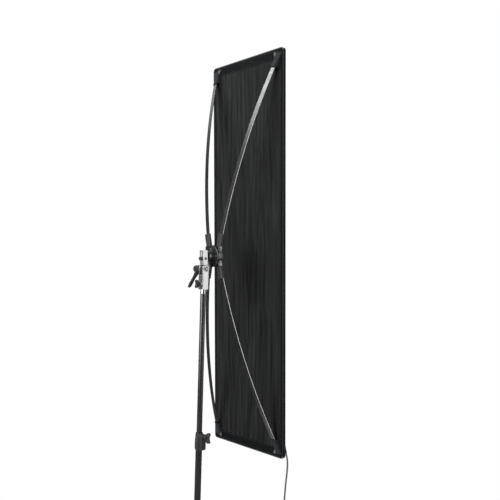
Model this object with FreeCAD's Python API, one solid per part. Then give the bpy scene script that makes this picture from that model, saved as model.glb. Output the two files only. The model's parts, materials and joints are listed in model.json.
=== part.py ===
import FreeCAD, Part
import math
import os

# Tall fabric light panel, carried by four bowed arms on a tilting head, on a three-section light
# stand. Millimetres, +Z up, the lit face looks along -Y, the floor is z = 0, and the origin is
# under the middle of the whole object.

V = FreeCAD.Vector
X_AXIS = V(1, 0, 0)
Y_AXIS = V(0, 1, 0)
Z_AXIS = V(0, 0, 1)

# ---- driving dimensions -------------------------------------------------------------------
PANEL_W = 300.0
PANEL_H = 1200.0
PANEL_DEPTH = 12.0
PANEL_CORNER = 8.0
SHEET = 2.0                     # modelled thickness of each fabric layer
HUB_Z = 1500.0                  # height of the hub's centre
HUB_T = 136.0                   # from the panel's rear face back to the hub's centre
POLE_T = 174.0                  # from the panel's rear face back to the stand's axis
TILT_DROP = 37.0                # tilt axis below the hub's centre
REST_TILT = 2.45                # degrees, panel's top leaning to the rear

GAP = 0.3                       # between parts that move past each other
FIT = 0.1                       # radial clearance of a pin in its hole

BASE_R = 11.0
MID_R = 9.5
TOP_R = 8.0
TUBE_WALL = 1.2
BASE_Z = (45.0, 700.0)
MID_Z = (320.0, 968.0)
TOP_Z = (795.0, 1392.0)

LEG_LENGTH = 600.0              # top pivot to the tube's end
LEG_R = 7.0
BRACE_LENGTH = 255.0            # equal to the leg from its top pivot to the brace's pivot
PIVOT_R = 24.0                  # pivots' distance from the stand's axis
OPEN_ANGLE = 47.0               # legs from the vertical when spread
BRACE_PIVOT_Z = 69.0
FOOT_R = 10.0
FOOT_END = 612.0                # along the leg, from the top pivot
LEG_AZIMUTHS = (270.0, 30.0, 150.0)
PIN_R = 2.0

# ---- derived places -----------------------------------------------------------------------
OPEN = math.radians(OPEN_ANGLE)
LEG_PIVOT_Z = BRACE_PIVOT_Z + 2 * BRACE_LENGTH * math.cos(OPEN)
FOOT_AXIS_REACH = PIVOT_R + FOOT_END * math.sin(OPEN)
FOOT_RIM = FOOT_R * math.cos(OPEN)
FRONT_REACH = FOOT_AXIS_REACH + FOOT_RIM
REAR_REACH = FOOT_AXIS_REACH / 2 + math.hypot(FOOT_RIM / 2, FOOT_R * math.sqrt(3) / 2)
POLE_Y = (FRONT_REACH - REAR_REACH) / 2
TILT_Z = HUB_Z - TILT_DROP
TILT_POINT = V(0, POLE_Y, TILT_Z)
PANEL_Y = POLE_Y - POLE_T       # the panel's rear face


# ---- helpers ------------------------------------------------------------------------------
def box(x, y, z):
    """A box from three (low, high) pairs."""
    size = (x[1] - x[0], y[1] - y[0], z[1] - z[0])
    return Part.makeBox(size[0], size[1], size[2], V(x[0], y[0], z[0]))


def rod(radius, start, end):
    """A solid cylinder between two points."""
    return Part.makeCylinder(radius, start.distanceToPoint(end), start, end - start)


def cone(radius_a, radius_b, start, end):
    return Part.makeCone(radius_a, radius_b, start.distanceToPoint(end), start, end - start)


def sleeve(outer, inner, low, high):
    """A tube on the stand's axis."""
    return rod(outer, V(0, 0, low), V(0, 0, high)).cut(rod(inner, V(0, 0, low), V(0, 0, high)))


def prism(points, thickness_vector):
    """A flat outline extruded by a vector."""
    return Part.Face(Part.makePolygon(points + [points[0]])).extrude(thickness_vector)


def edges_along(shape, axis):
    """Straight edges parallel to an axis."""
    straight = [edge for edge in shape.Edges if isinstance(edge.Curve, Part.Line)]
    return [edge for edge in straight if abs(edge.tangentAt(edge.FirstParameter).dot(axis)) > 0.999]


def soften(shape, axis, radius):
    """Round the edges that run along an axis."""
    return shape.makeFillet(radius, edges_along(shape, axis))


def turned(shape, azimuth):
    """A copy turned about the stand's axis, from radial = +X."""
    copy = shape.copy()
    copy.rotate(V(0, 0, 0), Z_AXIS, azimuth)
    return copy


def moved(shape, offset):
    copy = shape.copy()
    copy.translate(offset)
    return copy


def on_stand(shape):
    """From the stand's own axis to its place in the object."""
    return moved(shape, V(0, POLE_Y, 0))


def tilted(shape):
    """Lean a piece of the head or the panel back by the rest tilt."""
    copy = shape.copy()
    copy.rotate(TILT_POINT, X_AXIS, -REST_TILT)
    return copy


def group(shapes):
    return Part.makeCompound(list(shapes))


parts = {}


# ---- stand tubes and their end pieces -----------------------------------------------------
def stand_tube(radius, span):
    return sleeve(radius, radius - TUBE_WALL, span[0], span[1])


def end_guide(radius, low, flange, insert):
    """A plastic end piece: a flange as wide as the tube and a plug inside it."""
    return rod(radius, V(0, 0, low - flange), V(0, 0, low)).fuse(
        rod(radius - TUBE_WALL, V(0, 0, low), V(0, 0, low + insert)))


def build_tubes():
    parts["base_tube"] = on_stand(stand_tube(BASE_R, BASE_Z))
    parts["base_plug"] = on_stand(end_guide(BASE_R, BASE_Z[0], flange=5, insert=12))
    parts["mid_tube"] = on_stand(stand_tube(MID_R, MID_Z))
    parts["mid_guide"] = on_stand(end_guide(MID_R, MID_Z[0], flange=12, insert=16))
    parts["top_tube"] = on_stand(stand_tube(TOP_R, TOP_Z))
    parts["top_guide"] = on_stand(end_guide(TOP_R, TOP_Z[0], flange=10, insert=16))


# ---- wing knobs ---------------------------------------------------------------------------
KNOB_SHAFT_R = 3.0
KNOB_WING_T = 7.0
KNOB_SEAT = 0.5                 # knob's hub off the face it stands on
KNOB_NECK = 5.5                 # half width of the wings where they leave the hub


def wing_knob(shaft, reach, span):
    """Two-winged clamp knob along +X: its screw reaches back by shaft, its wings out to reach."""
    root = KNOB_SEAT + 2
    shoulder = reach * 0.62
    tip = reach - 2
    notch = reach * 0.74
    lobes = [(root, -KNOB_NECK), (shoulder, -span / 2), (tip, -span / 2 + 1.5), (notch, 0),
             (tip, span / 2 - 1.5), (shoulder, span / 2), (root, KNOB_NECK)]
    outline = [V(out, -KNOB_WING_T / 2, across) for out, across in lobes]
    wings = soften(prism(outline, V(0, KNOB_WING_T, 0)), Y_AXIS, 1.8)
    hub = cone(6.2, 7.4, V(KNOB_SEAT, 0, 0), V(reach * 0.55, 0, 0))
    screw = rod(KNOB_SHAFT_R, V(-shaft, 0, 0), V(KNOB_SEAT + 4, 0, 0))
    return hub.fuse(wings).fuse(screw).removeSplitter()


def knob_at(knob, seat, height, azimuth):
    """Place a knob whose seat is that far from the stand's axis."""
    return on_stand(turned(moved(knob, V(seat, 0, height)), azimuth))


# ---- clamp collars of the stand -----------------------------------------------------------
BASE_CLAMP_Z = (672.0, 735.0)
BASE_KNOB_Z = 716.0
MID_CLAMP_Z = (941.0, 990.0)
MID_KNOB_Z = 982.0
CLAMP_REACH = 22.0              # stand's axis to the lug's outer face
CLAMP_CHAMFER = 5.0             # height of the collar's narrower lower rim
CLAMP_TAPER = 24.0              # height of its tapered upper part
SCREW_BOSS_R = 7.5
KNOB_AZIMUTH = 180.0


def clamp_collar(span, outer, tube_r, tube_top, inner_r, knob_z):
    """Moulded collar fixed on a tube's top end, with a lug that the clamp screw goes through."""
    low, high = span
    rim_top = low + CLAMP_CHAMFER
    taper_low = high - CLAMP_TAPER
    body = cone(outer - 1.5, outer, V(0, 0, low), V(0, 0, rim_top))
    body = body.fuse(rod(outer, V(0, 0, rim_top), V(0, 0, taper_low)))
    body = body.fuse(cone(outer, outer - 1.8, V(0, 0, taper_low), V(0, 0, high)))
    body = body.fuse(soften(box((0, CLAMP_REACH), (-7, 7), (low + 3, high - 2)), X_AXIS, 2))
    boss = rod(SCREW_BOSS_R, V(outer - 2, 0, knob_z), V(CLAMP_REACH + 1, 0, knob_z))
    body = body.fuse(boss)
    body = body.cut(rod(tube_r, V(0, 0, low), V(0, 0, tube_top)))
    body = body.cut(rod(inner_r + GAP, V(0, 0, low), V(0, 0, high)))
    screw_hole = rod(KNOB_SHAFT_R + FIT, V(0, 0, knob_z), V(CLAMP_REACH + 2, 0, knob_z))
    return body.cut(screw_hole).removeSplitter()


def build_clamps():
    seat = CLAMP_REACH + 1
    base = clamp_collar(BASE_CLAMP_Z, 14.0, BASE_R, BASE_Z[1], MID_R, BASE_KNOB_Z)
    mid = clamp_collar(MID_CLAMP_Z, 12.2, MID_R, MID_Z[1], TOP_R, MID_KNOB_Z)
    parts["base_clamp"] = on_stand(turned(base, KNOB_AZIMUTH))
    parts["mid_clamp"] = on_stand(turned(mid, KNOB_AZIMUTH))
    base_knob = wing_knob(shaft=seat - MID_R - GAP, reach=26, span=32)
    mid_knob = wing_knob(shaft=seat - TOP_R - GAP, reach=26, span=30)
    parts["base_knob"] = knob_at(base_knob, seat, BASE_KNOB_Z, KNOB_AZIMUTH)
    parts["mid_knob"] = knob_at(mid_knob, seat, MID_KNOB_Z, KNOB_AZIMUTH)


# ---- tripod -------------------------------------------------------------------------------
CHANNEL_HALF = LEG_R + 0.4      # inside half width of a brace's channel, and of the collar's ears
CHANNEL_T = 1.2
CHANNEL_OPEN = 12.0             # length at each end of a brace without its web
LUG_R = 7.0
THROUGH = 20.0                  # half length of a hole's cutter
EAR_T = 3.0
COLLAR_R = 15.0
RIVET_HEAD_R = 3.6
RIVET_HEAD_T = 1.2
BRACE_COLLAR_HALF = 12.0
COLLAR_SPAN = (LEG_PIVOT_Z - 12, LEG_PIVOT_Z + 14)
COLLAR_EAR_R = 8.0
COLLAR_LUG = 25.0               # stand's axis to the lug's outer face
COLLAR_KNOB_Z = LEG_PIVOT_Z + 1
COLLAR_KNOB_AZIMUTH = 90.0
FOOT_GRIP = 28.0                # how far the boot covers the leg


def tangential_rod(radius, centre, half):
    """A pin across a leg's plane, radial = +X, through a point."""
    return rod(radius, centre - V(0, half, 0), centre + V(0, half, 0))


def brace_collar():
    """Fixed ring at the base tube's foot with three lugs for the braces."""
    low = BRACE_PIVOT_Z - BRACE_COLLAR_HALF
    high = BRACE_PIVOT_Z + BRACE_COLLAR_HALF
    body = sleeve(COLLAR_R, BASE_R, low, high)
    pivot = V(PIVOT_R, 0, BRACE_PIVOT_Z)
    arm = box((BASE_R + 1, PIVOT_R), (-LUG_R, LUG_R), (BRACE_PIVOT_Z - LUG_R, BRACE_PIVOT_Z + LUG_R))
    lug = arm.fuse(tangential_rod(LUG_R, pivot, LUG_R)).cut(tangential_rod(PIN_R, pivot, THROUGH))
    for azimuth in LEG_AZIMUTHS:
        body = body.fuse(turned(lug, azimuth))
    return body.cut(rod(BASE_R, V(0, 0, low), V(0, 0, high))).removeSplitter()


def rivet(centre, inner_half, outer_half):
    """A pin with a head on each side of the sheet metal that it holds."""
    pin = tangential_rod(PIN_R, centre, outer_half)
    heads = tangential_rod(RIVET_HEAD_R, centre, outer_half + RIVET_HEAD_T)
    return pin.fuse(heads.cut(tangential_rod(RIVET_HEAD_R + 1, centre, inner_half))).removeSplitter()


def brace():
    """Channel along +X from its lower pivot at the origin, open on the side that the leg folds into."""
    outside = CHANNEL_HALF + CHANNEL_T
    web = -LUG_R - 0.6
    channel = box((4, BRACE_LENGTH - 4), (-outside, outside), (web, 5))
    for end in (0, BRACE_LENGTH):
        channel = channel.fuse(tangential_rod(6, V(end, 0, 0), outside))
    inner = (-CHANNEL_HALF, CHANNEL_HALF)
    channel = channel.cut(box((-THROUGH, BRACE_LENGTH + THROUGH), inner, (web + CHANNEL_T, THROUGH)))
    for start, end in ((-THROUGH, CHANNEL_OPEN), (BRACE_LENGTH - CHANNEL_OPEN, BRACE_LENGTH + THROUGH)):
        channel = channel.cut(box((start, end), inner, (-THROUGH, THROUGH)))
    for end, hole in ((0, PIN_R + FIT), (BRACE_LENGTH, PIN_R)):
        channel = channel.cut(tangential_rod(hole, V(end, 0, 0), THROUGH))
    return channel.removeSplitter()


def leg():
    """Tube along +X from its top pivot at the origin, with a closed round end there."""
    outer = rod(LEG_R, V(-LEG_R, 0, 0), V(LEG_LENGTH, 0, 0))
    keep = box((0, LEG_LENGTH), (-LEG_R, LEG_R), (-LEG_R, LEG_R))
    tube = outer.common(keep.fuse(tangential_rod(LEG_R, V(0, 0, 0), LEG_R)))
    tube = tube.cut(rod(LEG_R - TUBE_WALL, V(2 * LEG_R, 0, 0), V(LEG_LENGTH, 0, 0)))
    for place in (0, BRACE_LENGTH):
        tube = tube.cut(tangential_rod(PIN_R + FIT, V(place, 0, 0), THROUGH))
    return tube.removeSplitter()


def foot():
    """Rubber boot on the leg's end, before its sole is cut flat on the floor."""
    top = LEG_LENGTH - FOOT_GRIP
    boot = rod(FOOT_R, V(top, 0, 0), V(FOOT_END, 0, 0))
    boot = boot.fuse(rod(FOOT_R + 1, V(top, 0, 0), V(top + 6, 0, 0)))
    return boot.cut(rod(LEG_R, V(0, 0, 0), V(LEG_LENGTH, 0, 0)))


def spread(shape, base, angle):
    """Lay a piece that lies along +X from a pivot at this angle from +X, turning towards +Z."""
    copy = shape.copy()
    copy.rotate(V(0, 0, 0), Y_AXIS, -angle)
    copy.translate(base)
    return copy


def leg_collar():
    """Sliding collar with a pair of ears for each leg and a lug for its clamp screw."""
    low, high = COLLAR_SPAN
    bore = rod(BASE_R + GAP, V(0, 0, low), V(0, 0, high))
    body = sleeve(COLLAR_R, BASE_R + GAP, low, high)
    pivot = V(PIVOT_R, 0, LEG_PIVOT_Z)
    outside = CHANNEL_HALF + EAR_T
    ear_span = (LEG_PIVOT_Z - COLLAR_EAR_R, LEG_PIVOT_Z + COLLAR_EAR_R)
    ears = box((BASE_R + 1, PIVOT_R), (-outside, outside), ear_span)
    ears = ears.fuse(tangential_rod(COLLAR_EAR_R, pivot, outside))
    ears = ears.cut(box((COLLAR_R, 60), (-CHANNEL_HALF, CHANNEL_HALF), (low - 10, high + 10)))
    ears = ears.cut(tangential_rod(PIN_R, pivot, THROUGH))
    for azimuth in LEG_AZIMUTHS:
        body = body.fuse(turned(ears, azimuth))
    lug = soften(box((0, COLLAR_LUG), (-8, 8), (COLLAR_KNOB_Z - 9, COLLAR_KNOB_Z + 9)), X_AXIS, 2)
    body = body.fuse(turned(lug, COLLAR_KNOB_AZIMUTH)).cut(bore)
    hole = rod(KNOB_SHAFT_R + FIT, V(0, 0, COLLAR_KNOB_Z), V(60, 0, COLLAR_KNOB_Z))
    return body.cut(turned(hole, COLLAR_KNOB_AZIMUTH)).removeSplitter()


def ear_rivet(side):
    """Headed stub that fills one ear's hole, on one side of the leg."""
    inner = V(PIVOT_R, side * CHANNEL_HALF, LEG_PIVOT_Z)
    outer = V(PIVOT_R, side * (CHANNEL_HALF + EAR_T), LEG_PIVOT_Z)
    head = rod(RIVET_HEAD_R, outer, outer + V(0, side * RIVET_HEAD_T, 0))
    return rod(PIN_R, inner, outer).fuse(head)


def build_tripod():
    outer_half = CHANNEL_HALF + CHANNEL_T
    brace_base = V(PIVOT_R, 0, BRACE_PIVOT_Z)
    leg_base = V(PIVOT_R, 0, LEG_PIVOT_Z)
    brace_angle = 90 - OPEN_ANGLE
    leg_angle = OPEN_ANGLE - 90
    floor = box((-1000, 1000), (-1000, 1000), (-100, 0))
    channel = brace()
    channel.rotate(V(0, 0, 0), X_AXIS, 180)
    brace_pin = rivet(brace_base, outer_half + FIT, outer_half + FIT)
    mid_rivet = rivet(V(BRACE_LENGTH, 0, 0), outer_half, outer_half)
    stub_pair = group([ear_rivet(-1), ear_rivet(1)])

    parts["brace_collar"] = on_stand(brace_collar())
    parts["brace_pins"] = on_stand(group(turned(brace_pin, azimuth) for azimuth in LEG_AZIMUTHS))
    parts["leg_collar"] = on_stand(leg_collar())
    stubs = [solid for azimuth in LEG_AZIMUTHS for solid in turned(stub_pair, azimuth).Solids]
    parts["leg_collar_rivets"] = on_stand(group(stubs))
    knob = wing_knob(shaft=COLLAR_LUG - BASE_R - GAP, reach=26, span=32)
    parts["leg_collar_knob"] = knob_at(knob, COLLAR_LUG, COLLAR_KNOB_Z, COLLAR_KNOB_AZIMUTH)

    for number, azimuth in enumerate(LEG_AZIMUTHS, 1):
        parts[f"brace_{number}"] = on_stand(turned(spread(channel, brace_base, brace_angle), azimuth))
        held = spread(mid_rivet, brace_base, brace_angle)
        parts[f"brace_rivet_{number}"] = on_stand(turned(held, azimuth))
        parts[f"leg_{number}"] = on_stand(turned(spread(leg(), leg_base, leg_angle), azimuth))
        sole = spread(foot(), leg_base, leg_angle).cut(floor)
        parts[f"foot_{number}"] = on_stand(turned(sole, azimuth))


# ---- spigot, receiver and tilt clamp ------------------------------------------------------
SPIGOT_R = 7.94                 # 5/8 inch stud
SPIGOT_TOP = 1439.0
GROOVE_R = 6.2                  # the stud's groove that the receiver's screw bites in
RECEIVER_Z = 1404.0
RECEIVER_HALF = 10.5
EAR_SLOT_HALF = 5.3
EYE_HALF = 5.0
BOLT_R = 4.0
RECEIVER_KNOB_Z = TILT_Z - 43.0
RECEIVER_SEAT = 4.0             # the screw boss's height on the receiver's rear face
WASHER_T = 1.0
DOME_R = 9.0


def spigot():
    stud = rod(TOP_R - TUBE_WALL, V(0, 0, TOP_Z[1] - 18), V(0, 0, TOP_Z[1]))
    stud = stud.fuse(rod(9, V(0, 0, TOP_Z[1]), V(0, 0, TOP_Z[1] + 4)))
    stud = stud.fuse(rod(SPIGOT_R, V(0, 0, TOP_Z[1] + 4), V(0, 0, SPIGOT_TOP - 2)))
    stud = stud.fuse(cone(SPIGOT_R, SPIGOT_R - 1.5, V(0, 0, SPIGOT_TOP - 2), V(0, 0, SPIGOT_TOP)))
    groove = sleeve(SPIGOT_R + 1, GROOVE_R, RECEIVER_KNOB_Z - 5, RECEIVER_KNOB_Z + 5)
    return stud.cut(groove).removeSplitter()


def receiver_body():
    """Square block with a stud bore below and a fork for the tilt bolt above."""
    half = RECEIVER_HALF
    body = soften(box((-half, half), (-half, half), (RECEIVER_Z, TILT_Z)), Z_AXIS, 1.5)
    body = body.fuse(rod(half, V(-half, 0, TILT_Z), V(half, 0, TILT_Z)))
    seat = half + RECEIVER_SEAT
    body = body.fuse(rod(SCREW_BOSS_R, V(0, half - 1, RECEIVER_KNOB_Z), V(0, seat, RECEIVER_KNOB_Z)))
    body = body.cut(box((-EAR_SLOT_HALF, EAR_SLOT_HALF), (-30, 30), (TILT_Z - 15, TILT_Z + 30)))
    body = body.cut(rod(SPIGOT_R + FIT, V(0, 0, RECEIVER_Z), V(0, 0, SPIGOT_TOP + 1)))
    body = body.cut(rod(KNOB_SHAFT_R + FIT, V(0, 0, RECEIVER_KNOB_Z), V(0, 30, RECEIVER_KNOB_Z)))
    return body.cut(rod(BOLT_R, V(-30, 0, TILT_Z), V(30, 0, TILT_Z))).removeSplitter()


def tilt_bolt():
    """Bolt with a domed head on the -X side; its far end takes the lever's nut."""
    seat = -RECEIVER_HALF - WASHER_T
    shank = rod(BOLT_R, V(seat, 0, TILT_Z), V(23, 0, TILT_Z))
    dome = Part.makeSphere(DOME_R, V(seat + 5.5, 0, TILT_Z))
    dome = dome.common(box((seat - 10, seat), (-20, 20), (TILT_Z - 20, TILT_Z + 20)))
    socket = Part.makeCylinder(2.2, 3, V(seat - 3.6, 0, TILT_Z), V(-1, 0, 0))
    return shank.fuse(dome).cut(socket).removeSplitter()


def washer(outer, inner, start, end):
    return rod(outer, start, end).cut(rod(inner, start, end))


def lever_nut():
    """Threaded insert with drive teeth that the clamp lever sits on."""
    body = rod(6.4, V(12, 0, TILT_Z), V(24, 0, TILT_Z))
    for step in range(12):
        tooth = box((15, 23), (-1.1, 1.1), (0, 7.8))
        tooth.rotate(V(0, 0, 0), X_AXIS, 30 * step)
        body = body.fuse(moved(tooth, V(0, 0, TILT_Z)))
    body = body.cut(rod(BOLT_R + FIT, V(10, 0, TILT_Z), V(23.4, 0, TILT_Z)))
    return body.removeSplitter()


LEVER_LEAN = 24.0               # the lever hangs down, leaning this much to the rear
# The grip's sections: how far down, how far out, half width, half thickness.
LEVER_STATIONS = (
    (4, 25, 6.5, 5.0),
    (22, 27, 6.2, 4.6),
    (42, 32, 5.6, 4.2),
    (56, 35, 4.8, 3.6),
    (60, 36, 2.6, 2.0),
)


def lever_handle():
    """Clamp lever: a hub over the nut's teeth and a bowed grip."""
    body = cone(11, 10, V(14, 0, 0), V(36, 0, 0))
    sections = []
    for along, out, across, thick in LEVER_STATIONS:
        ellipse = Part.Ellipse(V(out, 0, -along), across, thick)
        ring = Part.Wire([ellipse.toShape()])
        ring.rotate(V(out, 0, -along), Z_AXIS, 90)
        sections.append(ring)
    body = body.fuse(Part.makeLoft(sections, True, False))
    body = body.cut(rod(8.4, V(14, 0, 0), V(25, 0, 0)))
    body = body.cut(rod(2.9, V(24, 0, 0), V(29, 0, 0)))
    body = body.cut(rod(5.2, V(27.5, 0, 0), V(37, 0, 0)))
    body.rotate(V(0, 0, 0), X_AXIS, LEVER_LEAN)
    return moved(body, V(0, 0, TILT_Z))


def lever_screw():
    screw = rod(2.5, V(24, 0, TILT_Z), V(32, 0, TILT_Z)).fuse(rod(4.6, V(32, 0, TILT_Z), V(35, 0, TILT_Z)))
    return screw.cut(rod(1.6, V(33.4, 0, TILT_Z), V(35, 0, TILT_Z))).removeSplitter()


def build_receiver():
    parts["spigot"] = on_stand(spigot())
    parts["receiver_body"] = on_stand(receiver_body())
    seat = RECEIVER_HALF + RECEIVER_SEAT
    knob = wing_knob(shaft=seat - GROOVE_R - GAP, reach=17, span=24)
    parts["receiver_knob"] = knob_at(knob, seat, RECEIVER_KNOB_Z, 90.0)
    parts["tilt_bolt"] = on_stand(tilt_bolt())
    washers = []
    for start in (-RECEIVER_HALF - WASHER_T, RECEIVER_HALF):
        washers.append(washer(8.5, BOLT_R, V(start, 0, TILT_Z), V(start + WASHER_T, 0, TILT_Z)))
    parts["tilt_washers"] = on_stand(group(washers))
    parts["lever_nut"] = on_stand(lever_nut())
    parts["lever_handle"] = on_stand(lever_handle())
    parts["lever_screw"] = on_stand(lever_screw())


# ---- tilting head -------------------------------------------------------------------------
# Worked out about the tilt axis: y is from the stand's axis, z from the tilt axis.
BLOCK_Z = (12.5, 54.0)
BLOCK_HALF_X = 9.0
BLOCK_HALF_Y = 8.0
UMBRELLA_R = 4.5
UMBRELLA_Z = 30.0
BOSS_R = 15.0
BOSS_Y = (-26.6, -12.0)
ROLL_R = 4.0
NUT_POCKET = 19.0               # from the stand's axis forward to the floor of the swivel nut's pocket


def at_tilt_axis(shape):
    return tilted(moved(shape, TILT_POINT))


def tilt_arm():
    """Casting with the tilt eye, the neck under the umbrella block and the boss that carries the hub."""
    body = rod(10, V(-EYE_HALF, 0, 0), V(EYE_HALF, 0, 0))
    body = body.fuse(box((-EYE_HALF, EYE_HALF), (-7, 7), (0, BLOCK_Z[0])))
    front, back = BOSS_Y
    web = [(0, -9.5), (-17, -8), (-25, 2), (front, 26), (front, TILT_DROP),
           (back, TILT_DROP), (back, 16), (-8.6, 12), (0, 9.5)]
    body = body.fuse(prism([V(-EYE_HALF, y, z) for y, z in web], V(2 * EYE_HALF, 0, 0)))
    centre = V(0, 0, TILT_DROP)
    body = body.fuse(rod(BOSS_R, centre + V(0, front, 0), centre + V(0, back, 0)))
    body = body.cut(rod(8.5, centre - V(0, NUT_POCKET, 0), centre))
    body = body.cut(rod(ROLL_R + FIT, centre + V(0, -40, 0), centre))
    body = body.cut(rod(BOLT_R + FIT, V(-20, 0, 0), V(20, 0, 0)))
    return body.removeSplitter()


def umbrella_block():
    """Block on the tilt eye with a cross bore for an umbrella's shaft and an open corner slot."""
    body = soften(box((-BLOCK_HALF_X, BLOCK_HALF_X), (-BLOCK_HALF_Y, BLOCK_HALF_Y), BLOCK_Z), Z_AXIS, 1.2)
    body = body.cut(rod(UMBRELLA_R, V(-20, 0, UMBRELLA_Z), V(20, 0, UMBRELLA_Z)))
    body = body.cut(rod(KNOB_SHAFT_R + FIT, V(0, 0, UMBRELLA_Z), V(0, 20, UMBRELLA_Z)))
    slot_z = (UMBRELLA_Z + 7.5, BLOCK_Z[1] - 4)
    body = body.cut(box((0.5, 6.6), (-6, 20), slot_z))
    return body.cut(box((0.5, 20), (-6, 5.6), slot_z)).removeSplitter()


def umbrella_knob():
    """Small knurled thumb screw on the block's rear face."""
    knob = rod(5, V(0, BLOCK_HALF_Y + 0.4, 0), V(0, BLOCK_HALF_Y + 7, 0))
    for step in range(16):
        groove = rod(0.5, V(5.2, 0, 0), V(5.2, BLOCK_HALF_Y + 8, 0))
        groove.rotate(V(0, 0, 0), Y_AXIS, 22.5 * step)
        knob = knob.cut(groove)
    knob = knob.fuse(rod(KNOB_SHAFT_R, V(0, UMBRELLA_R + 0.4, 0), V(0, BLOCK_HALF_Y + 1, 0)))
    return moved(knob.removeSplitter(), V(0, 0, UMBRELLA_Z))


def build_head():
    parts["tilt_arm"] = at_tilt_axis(tilt_arm())
    parts["umbrella_block"] = at_tilt_axis(umbrella_block())
    parts["umbrella_knob"] = at_tilt_axis(umbrella_knob())


# ---- hub and arms -------------------------------------------------------------------------
# Worked out about the hub: x across, y behind the panel's rear face, z from the hub's centre.
HUB_R = 32.0
HUB_BACK = POLE_T - 27.0        # rear face of the hub, just in front of the head's boss
HUB_FRONT = HUB_BACK - 20.0
ARM_LEAN = 11.34                # degrees from the vertical
ARM_OFFSET = 16.6               # the arms' lines miss the hub's centre by this much
ARM_SLOPE = 0.049               # how far an arm comes forward per length at the hub
ARM_BOW = 3266.0                # its bow: length squared over this
ARM_W = 13.0
ARM_T = 2.0
ARM_SPAN = (32.0, 580.0)
SOCKET_SPAN = (30.0, 66.0)
TIP_SPAN = (572.0, 585.0)
TIP_W = ARM_W + 3.0
TIP_T = 4.0
QUADRANTS = (
    ("upper_left", -1, 1),
    ("upper_right", 1, 1),
    ("lower_left", -1, -1),
    ("lower_right", 1, -1),
)
HUB_SCREW_ANGLES = (0, 90, 180, 270)


def on_panel(shape):
    """From the panel's own frame to its place in the object."""
    return tilted(moved(shape, V(0, PANEL_Y, HUB_Z)))


def arm_depth(along):
    return HUB_T - ARM_SLOPE * along - along ** 2 / ARM_BOW


def on_arm_line(shape):
    """From an arm's own axes, x along it and z across it, to the first quadrant."""
    lean = math.radians(ARM_LEAN)
    along = V(math.sin(lean), 0, math.cos(lean))
    across = V(-math.cos(lean), 0, math.sin(lean))
    turn = FreeCAD.Rotation(along, Y_AXIS, across, "XYZ")
    shape.Placement = FreeCAD.Placement(V(ARM_OFFSET, 0, 0), turn)
    return shape


def band(span, width, thickness):
    """A bowed flat strip in the first quadrant, in the panel's frame."""
    low, high = span
    middle = (low + high) / 2
    edges = []
    for lift in (-thickness / 2, thickness / 2):
        points = [V(along, arm_depth(along) + lift, -width / 2) for along in (low, middle, high)]
        edges.append(Part.Arc(points[0], points[1], points[2]).toShape())
    ends = [Part.makeLine(edges[0].Vertexes[i].Point, edges[1].Vertexes[i].Point) for i in (0, 1)]
    profile = Part.Wire([edges[0], ends[1], edges[1], ends[0]])
    return on_arm_line(Part.Face(profile).extrude(V(0, 0, width)))


def straight_block(span, width, thickness, rounding):
    """A straight rounded block on an arm's line at its hub end."""
    depth = arm_depth((span[0] + span[1]) / 2)
    block = box(span, (depth - thickness / 2, depth + thickness / 2), (-width / 2, width / 2))
    return on_arm_line(soften(block, X_AXIS, rounding))


def in_quadrant(shape, side, level):
    """Mirror a first-quadrant piece into its own quadrant."""
    if side < 0:
        shape = shape.mirror(V(0, 0, 0), X_AXIS)
    if level < 0:
        shape = shape.mirror(V(0, 0, 0), Z_AXIS)
    return shape


def four_fold(shape):
    """A first-quadrant piece in all four quadrants, as one group."""
    return group(in_quadrant(shape, side, level) for _, side, level in QUADRANTS)


def hub_body():
    drum = rod(HUB_R, V(0, HUB_FRONT, 0), V(0, HUB_BACK, 0))
    rim = [edge for edge in drum.Edges if isinstance(edge.Curve, Part.Circle)]
    drum = drum.makeFillet(2.5, rim)
    lobe = straight_block((6, SOCKET_SPAN[0]), 20, 13, 3)
    for solid in four_fold(lobe).Solids:
        drum = drum.fuse(solid)
    drum = drum.cut(rod(ROLL_R, V(0, 0, 0), V(0, 200, 0)))
    drum = drum.cut(rod(9, V(0, 0, 0), V(0, HUB_FRONT + 7, 0)))
    for angle in HUB_SCREW_ANGLES:
        drum = drum.cut(hub_screw(angle))
    return drum.removeSplitter()


def hub_screw(angle):
    """Countersunk screw in the hub's rear face."""
    screw = rod(1.5, V(21, HUB_BACK - 9, 0), V(21, HUB_BACK, 0))
    screw = screw.fuse(cone(1.5, 2.8, V(21, HUB_BACK - 2, 0), V(21, HUB_BACK, 0)))
    screw.rotate(V(0, 0, 0), Y_AXIS, angle)
    return screw


def roll_bolt():
    """Swivel bolt: its head sits in the hub's front and its thread reaches into the head's boss."""
    bolt = rod(ROLL_R, V(0, HUB_FRONT + 7, 0), V(0, POLE_T - 13, 0))
    return bolt.fuse(rod(6.8, V(0, HUB_FRONT + 1.5, 0), V(0, HUB_FRONT + 7, 0))).removeSplitter()


def roll_nut():
    """Hexagon nut in the boss's pocket."""
    corners = []
    for step in range(6):
        angle = math.radians(60 * step)
        corners.append(V(7.4 * math.cos(angle), POLE_T - NUT_POCKET + 0.4, 7.4 * math.sin(angle)))
    nut = prism(corners, V(0, 5.4, 0))
    return nut.cut(rod(ROLL_R, V(0, 0, 0), V(0, 200, 0)))


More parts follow.
